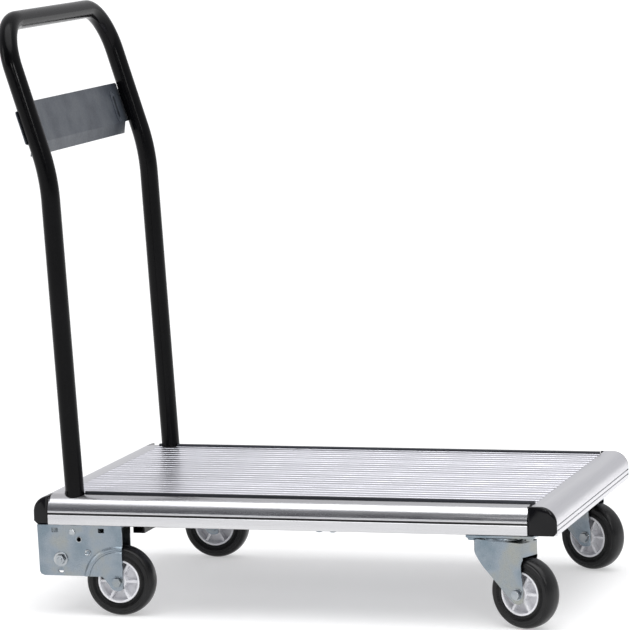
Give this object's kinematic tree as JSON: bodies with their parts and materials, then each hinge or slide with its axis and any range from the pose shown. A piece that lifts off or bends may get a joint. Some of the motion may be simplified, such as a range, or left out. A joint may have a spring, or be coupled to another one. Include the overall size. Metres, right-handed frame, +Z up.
{
  "type": "flatbed platform truck",
  "caption": "Flatbed platform truck with a ribbed aluminium deck, a bent push handle, fixed rear wheels and swivel front casters.",
  "frame": {"origin": "centre of the whole object's box, on the floor under the wheels", "axes": "+Z up, +X from the handle end towards the swivel-caster end, +Y to the left of a person pushing it"},
  "size_m": [0.8046, 0.5058, 0.849],
  "materials": {
    "deck_aluminium": "extruded, fine ribs, satin",
    "rail_aluminium": "polished extrusion",
    "cap_plastic": "gloss moulded black",
    "strip_plastic": "satin black strip",
    "black_steel": "gloss black paint",
    "slate_plate": "slate grey, lightly mottled",
    "zinc_steel": "bright zinc plate, faint blue and yellow cast",
    "tyre_rubber": "black rubber, glossy side wall",
    "hub_plastic": "white moulded nylon",
    "bush_bronze": "plain spacer bush"
  },
  "bodies": {
    "chassis": {"deck_plank_1": "deck_aluminium", "deck_plank_2": "deck_aluminium", "deck_plank_3": "deck_aluminium", "deck_plank_4": "deck_aluminium", "side_rail_right": "rail_aluminium", "side_rail_left": "rail_aluminium", "front_rail": "rail_aluminium", "rear_rail": "rail_aluminium", "front_cap_right": "cap_plastic", "front_cap_left": "cap_plastic", "rear_cap_right": "cap_plastic", "rear_cap_left": "cap_plastic", "edge_strip_right": "strip_plastic", "edge_strip_left": "strip_plastic", "handle_tube": "black_steel", "rear_cross_member": "black_steel", "front_cross_member": "black_steel", "middle_cross_member": "zinc_steel", "handle_plate": "slate_plate", "rear_bracket_right": "zinc_steel", "bracket_bolt_right": "zinc_steel", "bracket_nut_right": "zinc_steel", "handle_pin_right": "zinc_steel", "rear_axle_right": "zinc_steel", "rear_axle_nut_right": "zinc_steel", "caster_right_plate": "zinc_steel", "caster_right_race": "zinc_steel", "caster_right_kingpin": "zinc_steel", "rear_wheel_right_bush": "bush_bronze", "rear_bracket_left": "zinc_steel", "bracket_bolt_left": "zinc_steel", "bracket_nut_left": "zinc_steel", "handle_pin_left": "zinc_steel", "rear_axle_left": "zinc_steel", "rear_axle_nut_left": "zinc_steel", "caster_left_plate": "zinc_steel", "caster_left_race": "zinc_steel", "caster_left_kingpin": "zinc_steel", "rear_wheel_left_bush": "bush_bronze"},
    "rear_wheel_right": {"rear_wheel_right_tyre": "tyre_rubber", "rear_wheel_right_hub": "hub_plastic"},
    "caster_right": {"caster_right_fork": "zinc_steel", "caster_right_axle": "zinc_steel", "caster_right_axle_nut": "zinc_steel", "front_wheel_right_bush": "bush_bronze"},
    "front_wheel_right": {"front_wheel_right_tyre": "tyre_rubber", "front_wheel_right_hub": "hub_plastic"},
    "rear_wheel_left": {"rear_wheel_left_tyre": "tyre_rubber", "rear_wheel_left_hub": "hub_plastic"},
    "caster_left": {"caster_left_fork": "zinc_steel", "caster_left_axle": "zinc_steel", "caster_left_axle_nut": "zinc_steel", "front_wheel_left_bush": "bush_bronze"},
    "front_wheel_left": {"front_wheel_left_tyre": "tyre_rubber", "front_wheel_left_hub": "hub_plastic"}
  },
  "joints": [
    {"name": "rear_wheel_right_spin", "type": "hinge", "parent": "chassis", "child": "rear_wheel_right", "pos_m": [-0.2324, -0.21474, 0.05], "axis": [0, 1, 0], "continuous": true},
    {"name": "caster_right_swivel", "type": "hinge", "parent": "chassis", "child": "caster_right", "pos_m": [0.3209, -0.21014, 0.118], "axis": [0, 0, 1], "continuous": true},
    {"name": "front_wheel_right_spin", "type": "hinge", "parent": "caster_right", "child": "front_wheel_right", "pos_m": [0.35348, -0.22264, 0.05], "axis": [0.3584, 0.9336, 0], "continuous": true},
    {"name": "rear_wheel_left_spin", "type": "hinge", "parent": "chassis", "child": "rear_wheel_left", "pos_m": [-0.2324, 0.22586, 0.05], "axis": [0, 1, 0], "continuous": true},
    {"name": "caster_left_swivel", "type": "hinge", "parent": "chassis", "child": "caster_left", "pos_m": [0.3209, 0.22126, 0.118], "axis": [0, 0, 1], "continuous": true},
    {"name": "front_wheel_left_spin", "type": "hinge", "parent": "caster_left", "child": "front_wheel_left", "pos_m": [0.35326, 0.20819, 0.05], "axis": [0.3746, 0.9272, 0], "continuous": true}
  ]
}
